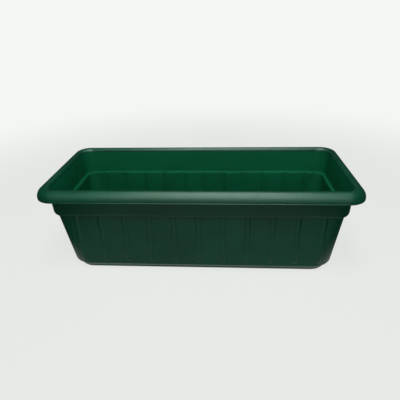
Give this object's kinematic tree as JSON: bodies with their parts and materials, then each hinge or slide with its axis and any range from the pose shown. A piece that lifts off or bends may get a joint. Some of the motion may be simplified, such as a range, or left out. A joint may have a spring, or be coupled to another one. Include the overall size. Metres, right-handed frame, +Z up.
{
  "type": "window box planter",
  "caption": "Long moulded plastic planting trough with a rolled rim, ribbed tapered walls, a foot ring and pull-out drain plugs.",
  "frame": {"origin": "middle of the ground plane under the foot ring", "axes": "+X along the length, +Y towards the back wall, +Z up out of the mouth"},
  "size_m": [0.46, 0.2, 0.144],
  "materials": {
    "green_polypropylene": "semi-gloss injection-moulded polypropylene, dark green",
    "plug_polypropylene": "satin injection-moulded polypropylene, dark green"
  },
  "bodies": {
    "trough": {"trough": "green_polypropylene"},
    "plug_1": {"drain_plug_1": "plug_polypropylene"},
    "plug_2": {"drain_plug_2": "plug_polypropylene"},
    "plug_3": {"drain_plug_3": "plug_polypropylene"},
    "plug_4": {"drain_plug_4": "plug_polypropylene"},
    "plug_5": {"drain_plug_5": "plug_polypropylene"},
    "plug_6": {"drain_plug_6": "plug_polypropylene"}
  },
  "joints": [
    {"name": "pull_plug_1", "type": "slide", "parent": "trough", "child": "plug_1", "axis": [0, 0, 1], "range_m": [0, 0.16]},
    {"name": "pull_plug_2", "type": "slide", "parent": "trough", "child": "plug_2", "axis": [0, 0, 1], "range_m": [0, 0.16]},
    {"name": "pull_plug_3", "type": "slide", "parent": "trough", "child": "plug_3", "axis": [0, 0, 1], "range_m": [0, 0.16]},
    {"name": "pull_plug_4", "type": "slide", "parent": "trough", "child": "plug_4", "axis": [0, 0, 1], "range_m": [0, 0.16]},
    {"name": "pull_plug_5", "type": "slide", "parent": "trough", "child": "plug_5", "axis": [0, 0, 1], "range_m": [0, 0.16]},
    {"name": "pull_plug_6", "type": "slide", "parent": "trough", "child": "plug_6", "axis": [0, 0, 1], "range_m": [0, 0.16]}
  ]
}
